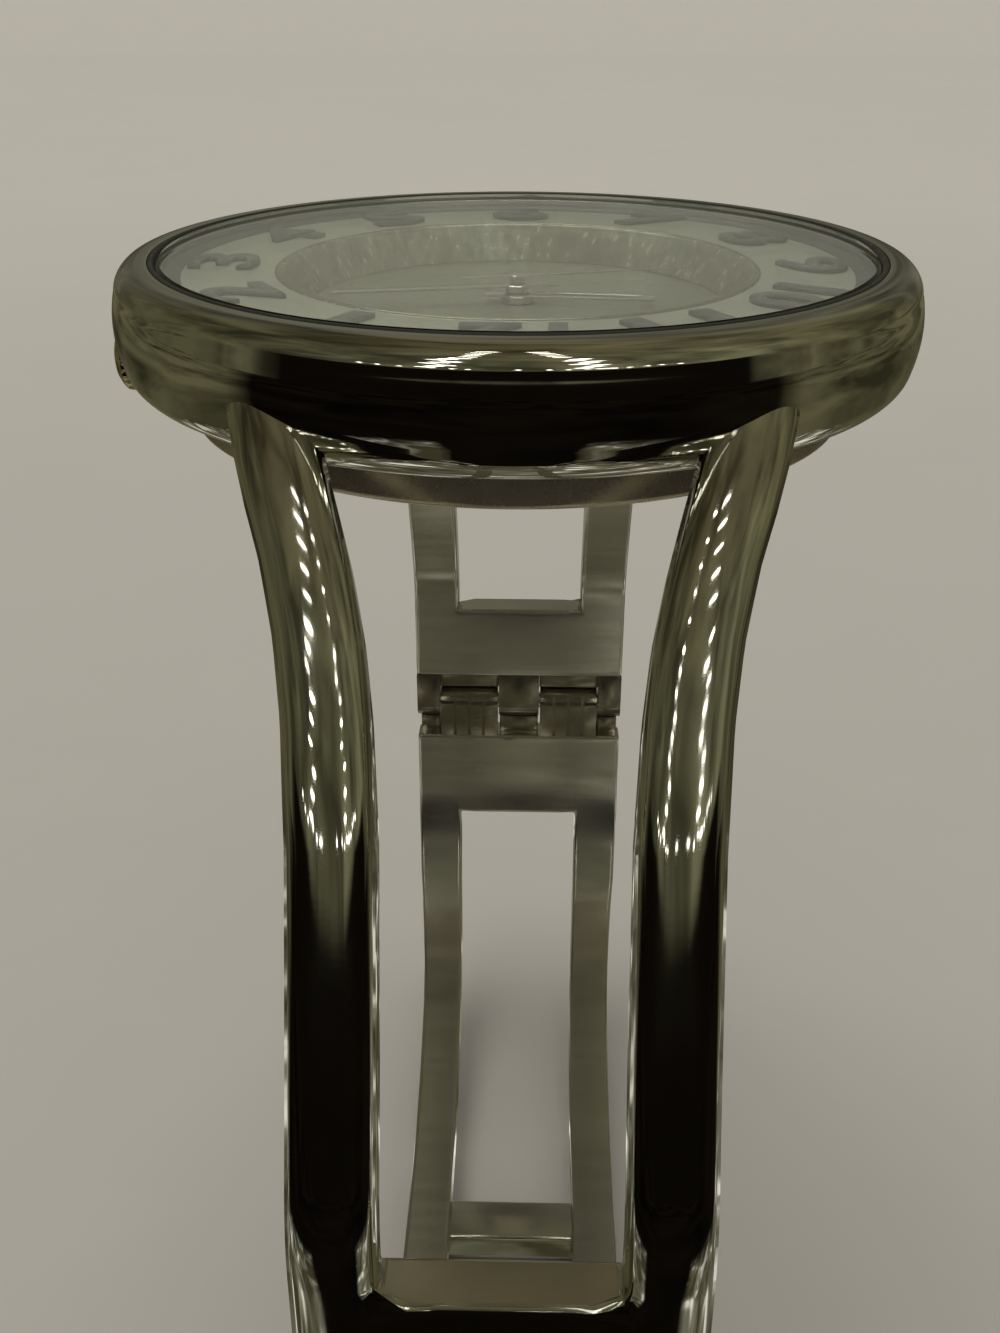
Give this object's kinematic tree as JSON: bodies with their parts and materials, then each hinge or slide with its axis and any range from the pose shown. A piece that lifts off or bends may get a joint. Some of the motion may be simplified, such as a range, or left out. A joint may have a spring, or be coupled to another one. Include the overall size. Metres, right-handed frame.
{
  "type": "bangle watch",
  "caption": "Round wristwatch on a hinged metal bangle of paired rails, with a stepped dial, low crown and slide-locked clasp.",
  "frame": {"origin": "Middle of the flat underside of the bangle, straight below the centre of the dial.", "axes": "+X points to 3 o'clock, where the crown is, +Y to 12 o'clock, +Z out of the dial."},
  "size_m": [0.0369, 0.0627, 0.0625],
  "materials": {
    "case_steel": "polished, warm reflections",
    "band_steel": "polished",
    "back_steel": "fine brushed",
    "crystal_glass": "clear, flat",
    "gasket_black": "matt black",
    "flange_dark": "dark satin",
    "dial_silver": "pale silver satin",
    "well_polished": "polished",
    "hand_steel": "polished",
    "gilt_steel": "polished, slightly golden",
    "pin_steel": "turned",
    "plate_brass": "grained",
    "wheel_brass": "turned",
    "steel_grey": "ground",
    "holder_white": "moulded",
    "copper": "enamelled winding",
    "board_green": "lacquered",
    "chip_black": "moulded",
    "seal_black": "matt"
  },
  "bodies": {
    "lower_half": {"lower_frame": "band_steel", "bottom_bar": "band_steel"},
    "head": {"case_body": "case_steel", "crystal": "crystal_glass", "crystal_gasket": "gasket_black", "flange_ring": "flange_dark", "dial_ring": "dial_silver", "well_wall": "well_polished", "dial_floor": "dial_silver", "case_back": "back_steel", "back_gasket": "seal_black", "movement_holder": "holder_white", "crown_tube": "pin_steel", "main_plate": "plate_brass", "train_bridge": "plate_brass", "bridge_screw_1": "steel_grey", "bridge_screw_2": "steel_grey", "bridge_screw_3": "steel_grey", "battery": "steel_grey", "battery_strap": "steel_grey", "coil": "copper", "coil_core": "steel_grey", "stator": "steel_grey", "quartz_can": "steel_grey", "circuit_board": "board_green", "timing_chip": "chip_black", "arm_twelve": "band_steel", "clasp_tongue": "back_steel", "arm_six": "band_steel", "hinge_pin": "pin_steel"},
    "bolt": {"clasp_bolt": "band_steel"},
    "lever": {"setting_lever": "steel_grey"},
    "crown_set": {"crown": "gilt_steel", "crown_seal": "seal_black", "winding_stem": "pin_steel"},
    "seconds": {"fourth_wheel": "wheel_brass", "second_hand": "hand_steel"},
    "minutes": {"centre_wheel": "wheel_brass", "minute_hand": "hand_steel"},
    "hours": {"hour_wheel": "wheel_brass", "hour_hand": "hand_steel"},
    "minute_gear": {"minute_wheel": "wheel_brass"},
    "third_gear": {"third_wheel": "wheel_brass"},
    "step_gear": {"step_wheel": "wheel_brass"},
    "rotor_body": {"rotor": "steel_grey"}
  },
  "joints": [
    {"name": "bangle_hinge", "type": "hinge", "parent": "lower_half", "child": "head", "pos_m": [0, -0.03012, 0.0236], "axis": [1, 0, 0], "range_deg": [0, 88]},
    {"name": "clasp_bolt_slide", "type": "slide", "parent": "lower_half", "child": "bolt", "axis": [-1, 0, 0], "range_m": [0, 0.0015]},
    {"name": "crown_pull", "type": "slide", "parent": "head", "child": "lever", "axis": [1, 0, 0], "range_m": [0, 0.001]},
    {"name": "crown_spin", "type": "hinge", "parent": "lever", "child": "crown_set", "pos_m": [0.012, 0, 0.05755], "axis": [1, 0, 0], "continuous": true},
    {"name": "rotor_spin", "type": "hinge", "parent": "head", "child": "rotor_body", "pos_m": [-0.00134, 0.00372, 0.0575], "axis": [0, 0, -1], "continuous": true},
    {"name": "step_spin", "type": "hinge", "parent": "head", "child": "step_gear", "pos_m": [-0.00036, 0.00202, 0.0575], "axis": [0, 0, -1], "continuous": true},
    {"name": "second_spin", "type": "hinge", "parent": "head", "child": "seconds", "pos_m": [0, 0, 0.0575], "axis": [0, 0, -1], "continuous": true},
    {"name": "third_spin", "type": "hinge", "parent": "head", "child": "third_gear", "pos_m": [0.00128, -0.00221, 0.0575], "axis": [0, 0, -1], "continuous": true},
    {"name": "minute_spin", "type": "hinge", "parent": "head", "child": "minutes", "pos_m": [0, 0, 0.0575], "axis": [0, 0, -1], "continuous": true},
    {"name": "minute_wheel_spin", "type": "hinge", "parent": "head", "child": "minute_gear", "pos_m": [0.00232, 0.00062, 0.0575], "axis": [0, 0, -1], "continuous": true},
    {"name": "hour_spin", "type": "hinge", "parent": "head", "child": "hours", "pos_m": [0, 0, 0.0575], "axis": [0, 0, -1], "continuous": true}
  ],
  "couplings": [
    {"joint": "step_spin", "follows": "rotor_spin", "ratio": -0.16667},
    {"joint": "second_spin", "follows": "rotor_spin", "ratio": 0.033333},
    {"joint": "third_spin", "follows": "rotor_spin", "ratio": -0.0044444},
    {"joint": "minute_spin", "follows": "rotor_spin", "ratio": 0.00055556},
    {"joint": "minute_wheel_spin", "follows": "rotor_spin", "ratio": -0.00018519},
    {"joint": "hour_spin", "follows": "rotor_spin", "ratio": 0.000046296}
  ]
}
